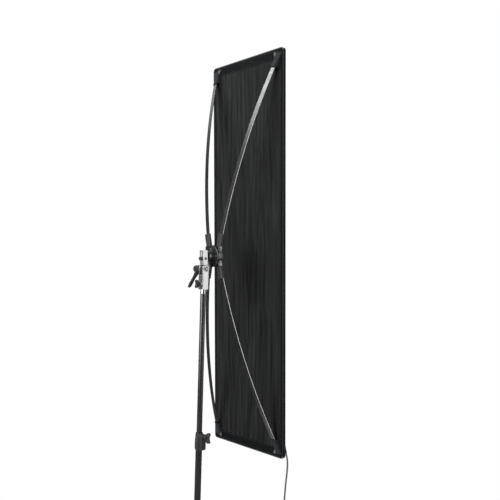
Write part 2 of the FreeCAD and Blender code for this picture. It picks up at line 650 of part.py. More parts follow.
def build_hub():
    parts["hub_body"] = on_panel(hub_body())
    cap = rod(22, V(0, HUB_FRONT - 3, 0), V(0, HUB_FRONT, 0))
    rims = [edge for edge in cap.Edges if isinstance(edge.Curve, Part.Circle)]
    front_rim = [edge for edge in rims if edge.CenterOfMass.y < HUB_FRONT - 1]
    parts["hub_cap"] = on_panel(cap.makeFillet(1.2, front_rim))
    parts["hub_screws"] = on_panel(group(hub_screw(angle) for angle in HUB_SCREW_ANGLES))
    parts["roll_bolt"] = on_panel(roll_bolt())
    parts["roll_nut"] = on_panel(roll_nut())

    room = band((ARM_SPAN[0] - 1, ARM_SPAN[1] + 0.2), ARM_W + 0.2, ARM_T + 0.2)
    arm = band(ARM_SPAN, ARM_W, ARM_T)
    for name, side, level in QUADRANTS:
        parts[f"arm_{name}"] = on_panel(in_quadrant(arm, side, level))
    parts["arm_sockets"] = on_panel(four_fold(straight_block(SOCKET_SPAN, 20, 10, 4).cut(room)))
    parts["arm_tips"] = on_panel(four_fold(band(TIP_SPAN, TIP_W, TIP_T).cut(room)))


# ---- panel --------------------------------------------------------------------------------
MAT_W = 276.0
MAT_H = 1176.0
MAT_T = 2.5
LED_COLUMNS = 6
LED_ROWS = 24
STRIP_T = 0.5
LED_HALF = 2.5
LED_T = 1.2
POCKET_SPAN = (556.0, 592.0)    # along the arm's line
POCKET_W = 23.0
POCKET_COVER = 3.2              # cloth over the arm at the pocket's mouth
POCKET_END = 4.5                # the pocket's height at its closed end


def plate(width, height, corner, back, front):
    """A rounded upright plate between two depths behind the panel's rear face."""
    body = box((-width / 2, width / 2), (front, back), (-height / 2, height / 2))
    return soften(body, Y_AXIS, corner)


def corner_pocket():
    """Fabric pouch on an arm's line that the arm's tip pushes into."""
    low, high = POCKET_SPAN
    profile = [(low, 0), (low, arm_depth(low) + POCKET_COVER), (high, POCKET_END), (high, 0)]
    corners = [V(along, height, -POCKET_W / 2) for along, height in profile]
    pouch = on_arm_line(prism(corners, V(0, 0, POCKET_W)))
    pouch = pouch.cut(band((low - 10, ARM_SPAN[1] + 1), ARM_W + 1, ARM_T + 1))
    return pouch.cut(band((TIP_SPAN[0] - 1, TIP_SPAN[1] + 1), TIP_W + 1, TIP_T + 1))


def led_rows():
    """Narrow circuit strips with their row of emitters, on the mat's front."""
    strip_back = -SHEET - MAT_T
    strip_front = strip_back - STRIP_T
    strips = []
    for column in range(LED_COLUMNS):
        x = MAT_W * ((column + 0.5) / LED_COLUMNS - 0.5)
        strip = box((x - 4, x + 4), (strip_front, strip_back), (-MAT_H / 2 + 10, MAT_H / 2 - 10))
        for row in range(LED_ROWS):
            z = (MAT_H - 30) * ((row + 0.5) / LED_ROWS - 0.5)
            emitter = box((x - LED_HALF, x + LED_HALF), (strip_front - LED_T, strip_front),
                          (z - LED_HALF, z + LED_HALF))
            strip = strip.fuse(emitter)
        strips.append(strip)
    return group(strips)


def build_panel():
    wall_front = SHEET - PANEL_DEPTH
    parts["back_cover"] = on_panel(plate(PANEL_W, PANEL_H, PANEL_CORNER, 0, -SHEET))
    outer = plate(PANEL_W, PANEL_H, PANEL_CORNER, -SHEET, wall_front)
    inner = plate(PANEL_W - 2 * SHEET, PANEL_H - 2 * SHEET, PANEL_CORNER - SHEET, -SHEET, wall_front)
    outward = V(GLAND_SIDE, 0, 0)
    lead_hole = rod(LEAD_D / 2, GLAND_WALL - outward * 3 * SHEET, GLAND_WALL + outward * SHEET)
    parts["side_wall"] = on_panel(outer.cut(inner).cut(lead_hole))
    parts["diffuser"] = on_panel(plate(PANEL_W, PANEL_H, PANEL_CORNER, wall_front, -PANEL_DEPTH))
    parts["light_mat"] = on_panel(plate(MAT_W, MAT_H, 4, -SHEET, -SHEET - MAT_T))
    parts["led_rows"] = on_panel(led_rows())
    parts["corner_pockets"] = on_panel(four_fold(corner_pocket()))


# ---- lead ---------------------------------------------------------------------------------
GLAND_SIDE = -1                 # the lead leaves the -X edge
GLAND_HEIGHT = -562.0           # from the hub's centre
GLAND_WALL = V(GLAND_SIDE * PANEL_W / 2, -PANEL_DEPTH / 2, GLAND_HEIGHT)
GLAND_FLANGE_R = 5.0
BOOT_LENGTH = 20.0
BOOT_LEAN = 70.0                # degrees below the horizontal
LEAD_D = 5.0
CONNECTOR_BOOT = 16.0
CONNECTOR_LENGTH = 34.0
CONNECTOR_R = 6.5

# The free lead's route in the object's own frame, from the boot's end to the connector.
LEAD_ROUTE = [
    (-156.84, -86.42, 927.40),
    (-160.26, -86.82, 918.01),
    (-163.5, -87.3, 901.3),
    (-163.1, -87.0, 873.3),
    (-158.6, -86.0, 827.6),
    (-155.5, -85.6, 765.8),
    (-154.3, -86.0, 695.8),
    (-153.0, -85.5, 625.8),
    (-152.6, -85.9, 565.8),
    (-152.8, -85.6, 525.8),
]


def lead_gland():
    """Rubber strain relief: a flange on the side wall and a tapered boot leaning down."""
    lean = math.radians(BOOT_LEAN)
    direction = V(GLAND_SIDE * math.cos(lean), 0, -math.sin(lean))
    flange = rod(GLAND_FLANGE_R, GLAND_WALL, GLAND_WALL + V(GLAND_SIDE * 1.5, 0, 0))
    boot = cone(4.2, 3.2, GLAND_WALL - direction * 6, GLAND_WALL + direction * BOOT_LENGTH)
    outside = box((-PANEL_W, -PANEL_W / 2), (-PANEL_W, PANEL_W), (-PANEL_H, 0))
    return flange.fuse(boot.common(outside)).removeSplitter()


def lead_path():
    """Straight runs joined by tangent arcs, each as large as its two runs allow."""
    points = [V(*place) for place in LEAD_ROUTE]
    edges = []
    start = points[0]
    for before, corner, after in zip(points, points[1:], points[2:]):
        run_in = corner - before
        run_out = after - corner
        cut_back = 0.45 * min(run_in.Length, run_out.Length)
        turn = run_in.getAngle(run_out)
        radius = cut_back / math.tan(turn / 2)
        towards = V(run_in).normalize()
        away = V(run_out).normalize()
        arc_start = corner - towards * cut_back
        arc_end = corner + away * cut_back
        bisector = (away - towards).normalize()
        centre = corner + bisector * (radius / math.cos(turn / 2))
        arc_middle = centre - bisector * radius
        edges.append(Part.LineSegment(start, arc_start).toShape())
        edges.append(Part.Arc(arc_start, arc_middle, arc_end).toShape())
        start = arc_end
        print(f"lead turn {math.degrees(turn):.1f} deg, radius {radius:.0f} mm")
    edges.append(Part.LineSegment(start, points[-1]).toShape())
    return Part.Wire(edges)


def connector_shell(start, direction):
    """In-line connector: a sleeve with a thicker grip, a socket in its end and a centre pin."""
    end = start + direction * CONNECTOR_LENGTH
    shell = rod(CONNECTOR_R, start, end)
    shell = shell.fuse(rod(CONNECTOR_R + 1, start + direction * 12, end - direction * 6))
    shell = shell.cut(rod(CONNECTOR_R - 1.4, end - direction * 9, end))
    return shell.fuse(rod(1.1, end - direction * 10, end - direction * 2)).removeSplitter()


def build_lead():
    parts["lead_gland"] = on_panel(lead_gland())
    path = lead_path()
    start = V(*LEAD_ROUTE[0])
    end = V(*LEAD_ROUTE[-1])
    section = Part.Wire([Part.makeCircle(LEAD_D / 2, start, V(*LEAD_ROUTE[1]) - start)])
    tube = path.makePipeShell([section], True, False)
    expected = math.pi * LEAD_D ** 2 / 4 * path.Length
    print(f"lead {path.Length:.1f} mm, volume {tube.Volume:.0f} of {expected:.0f} mm3")
    parts["lead"] = tube

    down = (end - V(*LEAD_ROUTE[-2])).normalize()
    shell_start = end + down * CONNECTOR_BOOT
    parts["connector_boot"] = cone(3.2, 5.2, end, shell_start)
    parts["connector_shell"] = connector_shell(shell_start, down)


build_tubes()
build_clamps()
build_tripod()
build_receiver()
build_head()
build_hub()
build_panel()
build_lead()

os.makedirs("parts", exist_ok=True)
for name, shape in parts.items():
    shape.exportStep(f"parts/{name}.step")
print(f"{len(parts)} nodes, stand axis at y = {POLE_Y:.2f}, leg pivots at z = {LEG_PIVOT_Z:.2f}")
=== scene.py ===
import json
import math

import bpy
import numpy as np
from mathutils import Matrix, Vector


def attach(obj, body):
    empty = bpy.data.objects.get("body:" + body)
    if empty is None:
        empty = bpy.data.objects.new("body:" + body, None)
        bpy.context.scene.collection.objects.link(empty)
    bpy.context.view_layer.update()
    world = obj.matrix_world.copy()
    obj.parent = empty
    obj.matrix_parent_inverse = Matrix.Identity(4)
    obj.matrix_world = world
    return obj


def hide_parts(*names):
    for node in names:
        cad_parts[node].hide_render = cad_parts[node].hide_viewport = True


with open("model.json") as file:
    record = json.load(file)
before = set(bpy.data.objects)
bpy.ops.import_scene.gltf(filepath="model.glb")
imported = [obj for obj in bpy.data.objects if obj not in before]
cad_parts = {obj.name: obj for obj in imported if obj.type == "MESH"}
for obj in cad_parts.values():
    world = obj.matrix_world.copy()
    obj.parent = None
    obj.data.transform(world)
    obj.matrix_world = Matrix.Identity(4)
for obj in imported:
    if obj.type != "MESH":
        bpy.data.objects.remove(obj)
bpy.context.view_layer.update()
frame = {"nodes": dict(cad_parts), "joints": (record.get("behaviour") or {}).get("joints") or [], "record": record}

# Looks for the tall fabric light panel on its stand. Metres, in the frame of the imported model.
# The fabric is worked out in the panel's own axes: x across, y out of its rear face, z up its
# length, from the middle of the rear face. The panel leans a little at rest.

MM = 0.001


# ---- the frame ----------------------------------------------------------------------------
def joint(name):
    return next(j for j in frame["joints"] if j["name"] == name)


ROLL_AXIS = joint("roll")["axis"]
LEAN = math.atan2(-ROLL_AXIS[2], ROLL_AXIS[1])
UPRIGHT = Matrix.Rotation(LEAN, 3, "X")


def upright_box(node):
    """A node's lowest and highest corners in the panel's own directions."""
    points = np.array([UPRIGHT @ v.co for v in frame["nodes"][node].data.vertices])
    return points.min(0), points.max(0)


BACK_LOW, BACK_HIGH = upright_box("back_cover")
FRONT_LOW = upright_box("diffuser")[0]
REAR_Y = BACK_HIGH[1]
HUB_HEIGHT = (BACK_LOW[2] + BACK_HIGH[2]) / 2
PANEL = Matrix.Rotation(-LEAN, 4, "X") @ Matrix.Translation((0, REAR_Y, HUB_HEIGHT))
TO_PANEL = PANEL.inverted()

HALF_W = (BACK_HIGH[0] - BACK_LOW[0]) / 2
HALF_H = (BACK_HIGH[2] - BACK_LOW[2]) / 2
DEPTH = REAR_Y - FRONT_LOW[1]
CORNER = 8 * MM                 # radius of the panel's corners
CLOTH = 1.2 * MM                # thickness of the cover's cloth


# ---- camera -------------------------------------------------------------------------------
CAMERA_PLACE = (-1.289, 1.214, 1.4703)
CAMERA_HEADING = -44.934        # degrees from +X, seen from above
CAMERA_PITCH = -0.705
CAMERA_ROLL = 1.643
CAMERA_SENSOR = 36
CAMERA_LENS = 42.161
CAMERA_SHIFT = 0.05


def make_camera():
    heading = math.radians(CAMERA_HEADING)
    pitch = math.radians(CAMERA_PITCH)
    level = Vector((math.cos(heading), math.sin(heading), 0))
    forward = level * math.cos(pitch) + Vector((0, 0, math.sin(pitch)))
    right = forward.cross(Vector((0, 0, 1))).normalized()
    turn = Matrix.Rotation(math.radians(CAMERA_ROLL), 3, -forward)
    right = turn @ right
    up = right.cross(forward)
    camera = bpy.data.objects.new("camera", bpy.data.cameras.new("camera"))
    bpy.context.scene.collection.objects.link(camera)
    camera.data.sensor_width = CAMERA_SENSOR
    camera.data.lens = CAMERA_LENS
    camera.data.shift_y = CAMERA_SHIFT
    camera.data.clip_end = 100
    rotation = Matrix((right, up, -forward)).transposed()
    camera.matrix_world = Matrix.Translation(CAMERA_PLACE) @ rotation.to_4x4()
    bpy.context.scene.camera = camera


make_camera()


# ---- material building blocks -------------------------------------------------------------
NOISE_MIDDLE = (0.34, 0.66)     # where most of a noise's values lie
ROUGH_NOISE_MIDDLE = (0.3, 0.7)
EDGE_POINTINESS = (0.51, 0.56)  # from flat to a convex edge
SIDEWAYS_NORMAL = (0.4, 0.7)    # from a band's narrow side, which carries a painted highlight, to its broad face
BEVEL_SAMPLES = 4
WAVE_SCALE = 2 * math.pi / 20   # the wave texture's scale for a pitch of one metre


class Shader:
    """A material with its Principled shader and short ways to add texture nodes to it."""

    def __init__(self, name, **sockets):
        self.material = bpy.data.materials.new(name)
        self.material.use_nodes = True
        self.tree = self.material.node_tree
        self.surface = self.tree.nodes["Principled BSDF"]
        for socket, value in sockets.items():
            self.surface.inputs[socket.replace("_", " ")].default_value = value
        self.place = self.tree.nodes.new("ShaderNodeTexCoord").outputs["Object"]

    def link(self, output, node, socket):
        self.tree.links.new(output, node.inputs[socket])

    def stretched(self, x, y, z):
        """Object coordinates scaled along each axis, so that a grain runs along the shortest."""
        node = self.tree.nodes.new("ShaderNodeMapping")
        node.inputs["Scale"].default_value = (x, y, z)
        self.link(self.place, node, "Vector")
        return node.outputs["Vector"]

    def noise(self, scale, detail=3.0, rough=0.5, place=None):
        node = self.tree.nodes.new("ShaderNodeTexNoise")
        node.inputs["Scale"].default_value = scale
        node.inputs["Detail"].default_value = detail
        node.inputs["Roughness"].default_value = rough
        self.link(place or self.place, node, "Vector")
        return node.outputs[0]

    def bands(self, direction, pitch, distortion=0.0):
        """Soft parallel bands, one every pitch metres."""
        node = self.tree.nodes.new("ShaderNodeTexWave")
        node.wave_type = "BANDS"
        node.bands_direction = direction
        node.inputs["Scale"].default_value = WAVE_SCALE / pitch
        node.inputs["Distortion"].default_value = distortion
        self.link(self.place, node, "Vector")
        return node.outputs[1]

    def range(self, value, low, high, start, end):
        """Map start..end to low..high, clamped outside it."""
        node = self.tree.nodes.new("ShaderNodeMapRange")
        node.inputs["From Min"].default_value = start
        node.inputs["From Max"].default_value = end
        node.inputs["To Min"].default_value = low
        node.inputs["To Max"].default_value = high
        self.link(value, node, "Value")
        return node.outputs[0]

    def spread(self, value):
        """Stretch a noise's narrow middle range over zero to one."""
        return self.range(value, 0.0, 1.0, *NOISE_MIDDLE)

    def combine(self, operation, first, second):
        """A maths node over two outputs or numbers."""
        node = self.tree.nodes.new("ShaderNodeMath")
        node.operation = operation
        for index, value in enumerate((first, second)):
            if isinstance(value, float):
                node.inputs[index].default_value = value
            else:
                self.tree.links.new(value, node.inputs[index])
        return node.outputs[0]

    def mix_colour(self, factor, first, second):
        """A blend from the first colour to the second, each a colour or an output."""
        node = self.tree.nodes.new("ShaderNodeMix")
        node.data_type = "RGBA"
        self.tree.links.new(factor, node.inputs[0])
        for index, value in ((6, first), (7, second)):
            if isinstance(value, tuple):
                node.inputs[index].default_value = (*value, 1)
            else:
                self.tree.links.new(value, node.inputs[index])
        return node.outputs[2]

    def worn_edges(self):
        """One on convex edges, nothing on flats."""
        geometry = self.tree.nodes.new("ShaderNodeNewGeometry")
        return self.range(geometry.outputs["Pointiness"], 0.0, 1.0, *EDGE_POINTINESS)

    def facing_rear(self):
        """One where the surface faces forward or back, nothing on its narrow sides; it keeps the band's painted
        edge highlight off the broad faces.
        """
        coordinates = self.tree.nodes.new("ShaderNodeTexCoord")
        parts = self.tree.nodes.new("ShaderNodeSeparateXYZ")
        self.link(coordinates.outputs["Normal"], parts, 0)
        flat = self.combine("ABSOLUTE", parts.outputs["Y"], 0.0)
        return self.range(flat, 0.0, 1.0, *SIDEWAYS_NORMAL)

    def colour(self, output):
        self.link(output, self.surface, "Base Color")

    def roughness(self, value, low, high):
        self.link(self.range(value, low, high, *ROUGH_NOISE_MIDDLE), self.surface, "Roughness")

    def relief(self, height, depth, strength=1.0, rounding=0.0):
        """Bump of that depth in metres, over edges that look rounded by a radius in metres."""
        node = self.tree.nodes.new("ShaderNodeBump")
        node.inputs["Strength"].default_value = strength
        node.inputs["Distance"].default_value = depth
        self.link(height, node, "Height")
        if rounding:
            bevel = self.tree.nodes.new("ShaderNodeBevel")
            bevel.samples = BEVEL_SAMPLES
            bevel.inputs["Radius"].default_value = rounding
            self.link(bevel.outputs["Normal"], node, "Normal")
        self.link(node.outputs["Normal"], self.surface, "Normal")


def grey(level, warm=0.0):
    """A near-neutral colour, slightly warm or cool."""
    return (level * (1 + warm), level, level * (1 - warm))


# ---- hard materials -----------------------------------------------------------------------
def gloss_paint():
    """Dark gloss plating on the drawn tubes, a little uneven along their length."""
    made = Shader("gloss_paint", Metallic=0.85, Coat_Weight=0.3, Coat_Roughness=0.1)
    drawn = made.noise(30, 3, 0.6, made.stretched(2, 2, 0.3))
    made.colour(made.mix_colour(made.spread(drawn), grey(0.09), grey(0.14, -0.01)))
    made.roughness(made.noise(8), 0.22, 0.3)
    return made.material


def satin_casting():
    """Dark plated casting with a slightly orange-peel surface and paler worn edges."""
    made = Shader("satin_casting", Metallic=1.0)
    flat = made.mix_colour(made.noise(120), grey(0.07), grey(0.13, -0.03))
    made.colour(made.mix_colour(made.worn_edges(), flat, grey(0.3)))
    made.roughness(made.noise(90), 0.2, 0.32)
    made.relief(made.noise(1600, 2), 0.04 * MM, 0.5, 0.5 * MM)
    return made.material


def moulded_plastic():
    """Fine-grained dark moulding, its worn edges one even tone."""
    made = Shader("moulded_plastic")
    flat = made.mix_colour(made.noise(70), grey(0.03), grey(0.065, -0.01))
    made.colour(made.mix_colour(made.worn_edges(), flat, grey(0.06)))
    made.roughness(made.noise(150), 0.34, 0.5)
    made.relief(made.noise(2400, 1), 0.04 * MM, 0.7, 0.6 * MM)
    return made.material


def rubber():
    """Matt black rubber."""
    made = Shader("rubber", Specular_IOR_Level=0.35)
    made.colour(made.mix_colour(made.noise(110), grey(0.012), grey(0.03, 0.02)))
    made.roughness(made.noise(200), 0.6, 0.82)
    made.relief(made.noise(1300, 3), 0.08 * MM, 0.6, 0.5 * MM)
    return made.material


def chrome_plate():
    """Bright plating with faint ripples."""
    made = Shader("chrome_plate", Metallic=1.0)
    made.colour(made.mix_colour(made.noise(150), grey(0.72), grey(0.86, -0.01)))
    made.roughness(made.noise(260), 0.06, 0.16)
    made.relief(made.noise(900, 2), 0.01 * MM, 0.4, 0.3 * MM)
    return made.material


def bare_steel():
    """Zinc-plated steel on the pins, bolts and rivets."""
    made = Shader("bare_steel", Metallic=1.0)
    made.colour(made.mix_colour(made.noise(220), grey(0.42), grey(0.62, 0.01)))
    made.roughness(made.noise(400), 0.24, 0.4)
    made.relief(made.noise(2500, 2), 0.02 * MM, 0.5, 0.3 * MM)
    return made.material


def cast_silver():
    """Machined and tumbled alloy: fine upright scratches and brighter worn edges."""
    made = Shader("cast_silver", Metallic=1.0)
    scratches = made.noise(60, 4, 0.7, made.stretched(40, 40, 2))
    flat = made.mix_colour(made.spread(scratches), grey(0.28), grey(0.5, -0.01))
    made.colour(made.mix_colour(made.worn_edges(), flat, grey(0.8)))
    made.roughness(scratches, 0.3, 0.46)
    made.relief(scratches, 0.03 * MM, 0.5, 0.5 * MM)
    return made.material


def spring_band():
    """Dark satin steel strip with a painted highlight on its narrow sides, standing in for the light its edges
    catch, and fine rolling lines along its length.
    """
    made = Shader("spring_band", Metallic=1.0)
    lines = made.noise(30, 4, 0.65, made.stretched(60, 20, 1.2))
    flat = made.mix_colour(made.spread(lines), grey(0.1), grey(0.18, -0.01))
    # painted highlight: both narrow sides are coloured pale grey in place of light caught on the band's edges
    made.colour(made.mix_colour(made.facing_rear(), grey(0.62), flat))
    made.roughness(made.noise(26, 3), 0.26, 0.36)
    made.relief(lines, 0.02 * MM, 0.5)
    return made.material


def lead_jacket():
    """Smooth grey jacket of the lead."""
    made = Shader("lead_jacket", Specular_IOR_Level=0.6)
    made.colour(made.mix_colour(made.noise(300), grey(0.15), grey(0.23)))
    made.roughness(made.noise(160), 0.34, 0.48)
    made.relief(made.noise(1800, 2), 0.03 * MM, 0.5)
    return made.material


# ---- fabrics ------------------------------------------------------------------------------
def ribbed_cloth():
    """Near-black lining cloth: fine upright ribs, a cross thread and uneven dye."""
    made = Shader("ribbed_cloth", Sheen_Weight=0.05, Sheen_Roughness=0.45, Specular_IOR_Level=0.12)
    streaks = made.spread(made.noise(9, 3, 0.6, made.stretched(14, 14, 0.3)))
    drifts = made.spread(made.noise(2.2, 3, 0.5, made.stretched(5, 5, 1)))
    upright = made.bands("X", 1.3 * MM, 0.3)
    level = made.bands("Z", 0.9 * MM, 0.3)
    weave = made.combine("MULTIPLY", upright, level)
    dyed = made.mix_colour(streaks, grey(0.006, -0.03), grey(0.05, -0.03))
    dyed = made.mix_colour(made.combine("MULTIPLY", drifts, 0.5), dyed, grey(0.012, -0.03))
    made.colour(made.mix_colour(made.combine("MULTIPLY", weave, 0.35), dyed, grey(0.03, -0.02)))
    made.roughness(streaks, 0.62, 0.82)
    made.relief(weave, 0.16 * MM, 0.7)
    return made.material


def plain_weave(name, dark, light, pitch=0.8 * MM, warm=0.0, shine=0.3):
    """A square weave whose threads run across each other."""
    made = Shader(name, Sheen_Weight=shine / 3, Sheen_Roughness=0.5, Specular_IOR_Level=shine)
    warp = made.combine("MULTIPLY", made.bands("X", pitch, 0.2), made.bands("Z", pitch, 0.2))
    weave = made.combine("MAXIMUM", warp, made.bands("DIAGONAL", pitch * 1.4, 0.2))
    clouds = made.noise(16, 4)
    cloth = made.mix_colour(clouds, grey(dark, warm), grey((dark + light) / 2, warm))
    made.colour(made.mix_colour(made.combine("MULTIPLY", weave, 0.6), cloth, grey(light, warm)))
    made.roughness(clouds, 0.7, 0.9)
    made.relief(weave, 0.14 * MM, 0.7)
    return made.material


def sewing_thread():
    """Twisted black thread."""
    made = Shader("thread", Sheen_Weight=0.2, Specular_IOR_Level=0.4)
    twist = made.bands("DIAGONAL", 0.6 * MM)
    made.colour(made.mix_colour(twist, grey(0.03), grey(0.075)))
    made.roughness(made.noise(400), 0.5, 0.7)
    made.relief(twist, 0.1 * MM)
    return made.material


def coated_mat():
    """Off-white coated cloth that carries the emitters."""
    made = Shader("coated_mat")
    made.colour(made.mix_colour(made.noise(30), grey(0.7, 0.01), grey(0.82, 0.01)))
    made.roughness(made.noise(90), 0.45, 0.6)
    made.relief(made.bands("DIAGONAL", 1.2 * MM), 0.05 * MM, 0.5)
    return made.material


def emitter():
    """Yellow phosphor under a clear lens."""
    made = Shader("emitter", Coat_Weight=0.6, Coat_Roughness=0.1)
    made.colour(made.mix_colour(made.noise(900), (0.85, 0.62, 0.1), (0.95, 0.8, 0.3)))
    made.roughness(made.noise(500), 0.25, 0.4)
    made.relief(made.noise(1500, 1), 0.05 * MM, 0.5)
    return made.material


MATERIALS = {
    "tube_black": gloss_paint(),
    "cast_black": satin_casting(),
    "moulded_black": moulded_plastic(),
    "rubber_black": rubber(),
    "chrome": chrome_plate(),
    "steel": bare_steel(),
    "silver": cast_silver(),
    "band_steel": spring_band(),
    "back_fabric": ribbed_cloth(),
    "pocket_fabric": plain_weave("pocket_cloth", 0.008, 0.04, warm=-0.1),
    "diffuser_fabric": plain_weave("diffuser_cloth", 0.74, 0.84, 0.6 * MM, 0.01),
    "mat": coated_mat(),
    "emitters": emitter(),
    "lead_jacket": lead_jacket(),
}
THREAD = sewing_thread()
HEM_CLOTH = plain_weave("hem_cloth", 0.004, 0.014, 0.9 * MM, -0.1, 0.1)
BINDING = plain_weave("binding_tape", 0.014, 0.05, 1.1 * MM)
PALE_PIPING = plain_weave("pale_piping", 0.1, 0.24, 0.9 * MM)
PALE_TAB = plain_weave("pale_tab", 0.1, 0.26, 0.9 * MM)


def finish_cad_nodes():
    """Give every CAD node its slot's material."""
    for row in frame["record"]["subparts"]:
        mesh = frame["nodes"][row["node"]].data
        mesh.materials.clear()
        mesh.materials.append(MATERIALS[row["material_slot"]])


finish_cad_nodes()


# ---- the lead -----------------------------------------------------------------------------
LEAD_D = 5 * MM
LEAD_BEVEL = 5                  # how round its section is
LEAD_STEPS = 16                 # steps between two points of the route
# Out of the gland, down past the panel's corner and hanging to the connector.
LEAD_ROUTE = [
    (-0.15684, -0.08642, 0.92740),
    (-0.16026, -0.08682, 0.91801),
    (-0.16350, -0.08730, 0.90130),
    (-0.16310, -0.08700, 0.87330),
    (-0.15860, -0.08600, 0.82760),
    (-0.15550, -0.08560, 0.76580),
    (-0.15430, -0.08600, 0.69580),
    (-0.15300, -0.08550, 0.62580),
    (-0.15260, -0.08590, 0.56580),
    (-0.15280, -0.08560, 0.52580),
]


def make_lead():
    curve = bpy.data.curves.new("panel_lead", "CURVE")
    curve.dimensions = "3D"
    curve.bevel_depth = LEAD_D / 2
    curve.bevel_resolution = LEAD_BEVEL
    curve.resolution_u = LEAD_STEPS
    curve.use_fill_caps = True
    spline = curve.splines.new("NURBS")
    spline.points.add(len(LEAD_ROUTE) - 1)
    for point, place in zip(spline.points, LEAD_ROUTE):
        point.co = (*place, 1)
    spline.order_u = 3
    spline.use_endpoint_u = True
    curve.materials.append(MATERIALS["lead_jacket"])
    lead = bpy.data.objects.new("panel_lead", curve)
    bpy.context.scene.collection.objects.link(lead)
    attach(lead, "panel")
    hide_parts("lead")


make_lead()


# ---- mesh helpers -------------------------------------------------------------------------
def panel_piece(name, points, faces, materials):
    """A smooth mesh given in the panel's axes, riding on the panel."""
    mesh = bpy.data.meshes.new(name)
    mesh.from_pydata([tuple(p) for p in points], [], faces)
    mesh.transform(PANEL)
    for material in materials:
        mesh.materials.append(material)
    mesh.polygons.foreach_set("use_smooth", [True] * len(mesh.polygons))
    piece = bpy.data.objects.new(name, mesh)
    bpy.context.scene.collection.objects.link(piece)
    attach(piece, "panel")
    return piece


def thicken(piece, thickness, side):
    """Give a sheet its cloth thickness: on one side of its surface, or 0 for both."""
    modifier = piece.modifiers.new("cloth thickness", "SOLIDIFY")
    modifier.thickness = thickness
    modifier.offset = side


def grid_faces(rows, columns, loop=False):
    """Quads over points listed row by row; with loop, each row closes on itself."""
    last = columns if loop else columns - 1
    faces = []
    for row in range(rows - 1):
        for column in range(last):
            follow = (column + 1) % columns
            faces.append((row * columns + column, row * columns + follow,
                          (row + 1) * columns + follow, (row + 1) * columns + column))
    return faces


def stations(half, fine_reach, fine, coarse):
    """Places from -half to half, the fine step apart within fine_reach of both ends."""
    fine_count = round(fine_reach / fine)
    coarse_count = round(2 * (half - fine_reach) / coarse)
    middle = np.linspace(-half + fine_reach, half - fine_reach, coarse_count + 1)
    low = np.linspace(-half, -half + fine_reach, fine_count + 1)[:-1]
    return np.concatenate([low, middle, -low[::-1]])


def round_corners(x, z, half_w, half_h, corner):
    """Draw each corner's square of points in onto its quarter disc."""
    a = np.clip((np.abs(x) - half_w + corner) / corner, 0, 1)
    b = np.clip((np.abs(z) - half_h + corner) / corner, 0, 1)
    near_x = np.where(a > 0, half_w - corner + corner * a * np.sqrt(1 - b * b / 2), np.abs(x))
    near_z = np.where(b > 0, half_h - corner + corner * b * np.sqrt(1 - a * a / 2), np.abs(z))
    return np.copysign(near_x, x), np.copysign(near_z, z)


ARC_STEPS = 6                   # steps round each rounded corner


def outline(half_w, half_h, corner, step):
    """Points round the panel's edge, each with its outward direction."""
    points = []
    for centre_x, centre_z, start in ((1, 1, 0), (-1, 1, 90), (-1, -1, 180), (1, -1, 270)):
        for k in range(ARC_STEPS + 1):
            angle = math.radians(start + 90 * k / ARC_STEPS)
            out = Vector((math.cos(angle), 0, math.sin(angle)))
            middle = Vector((centre_x * (half_w - corner), 0, centre_z * (half_h - corner)))
            points.append((middle + corner * out, out))
    filled = []
    for (here, out), (there, _) in zip(points, points[1:] + points[:1]):
        pieces = max(1, round((there - here).length / step))
        for k in range(pieces):
            filled.append((here.lerp(there, k / pieces), out))
    return filled


FOLD_SWELL = 0.6                # below 1 a fold is highest nearer its start


def bump_line(x, z, start, direction, reach, width, spread):
    """A fold's height from 0 to 1: a ridge from start along direction, widening and fading out."""
    along = (x - start[0]) * direction[0] + (z - start[1]) * direction[1]
    across = (x - start[0]) * direction[1] - (z - start[1]) * direction[0]
    share = np.clip(along / reach, 0, 1)
    fade = np.sin(math.pi * share ** FOLD_SWELL)
    return np.exp(-(across / (width + spread * share)) ** 2) * fade * (along > 0)


def smooth_step(value, low, high):
    """From 0 at low to 1 at high, level at both ends."""
    t = np.clip((value - low) / (high - low), 0, 1)
    return t * t * (3 - 2 * t)


# ---- the arms' lines ----------------------------------------------------------------------
ARM_LEAN = 11.34                # degrees from the panel's length
ARM_OFFSET = 16.6 * MM          # the lines miss the hub's centre by this much
ARM_SLOPE = 0.049               # how far an arm comes forward per length at the hub
ARM_BOW = 3266 * MM             # the arms' bow: length squared over this
HUB_DEPTH = 136 * MM            # from the rear face back to the arms' plane at the hub


# ---- the rear cover -----------------------------------------------------------------------
RIB_PITCH = 4.2 * MM
RIB_HEIGHT = 0.28 * MM
RIB_SHARE_IN_HEM = 0.35         # how much of the ribs' height still shows on the hem
END_HEM = 30 * MM
SIDE_HEM = 11 * MM
HEM_RISE = 0.9 * MM
FOLD_ANGLES = (-13, -7.5, -2.5, 2, 6.5)     # degrees from the arm's direction, at each corner
FOLD_REACH = (0.22, 0.36, 0.52, 0.44, 0.3)
FOLD_HEIGHT = (1.0, 1.6, 2.1, 1.7, 1.1)     # millimetres
FOLD_WIDTH = (5 * MM, 12 * MM)              # at its start, and how much wider at its end
FOLD_INSET = (24 * MM, 20 * MM)             # where folds start, in from the corner
FOLD_TWIST = 1.5                # degrees, so that the corners' folds differ
WAIST_HEIGHT = 1.5 * MM
SWAY_HEIGHT = 0.7 * MM
RIM_WIDTH = 4 * MM
RIM_DROP = 1.6 * MM             # how far the cloth turns down at the very edge


def corner_folds(x, z):
    """Folds that the arms pull from the four corners towards the middle."""
    folds = np.zeros_like(x)
    corner_x = HALF_W - FOLD_INSET[0]
    corner_z = HALF_H - FOLD_INSET[1]
    for side in (-1, 1):
        for end in (-1, 1):
            start = (side * corner_x, end * corner_z)
            for angle, reach, rise in zip(FOLD_ANGLES, FOLD_REACH, FOLD_HEIGHT):
                lean = math.radians(ARM_LEAN + angle + FOLD_TWIST * side * end)
                direction = (-side * math.sin(lean), -end * math.cos(lean))
                folds += rise * MM * bump_line(x, z, start, direction, reach, *FOLD_WIDTH)
    return folds


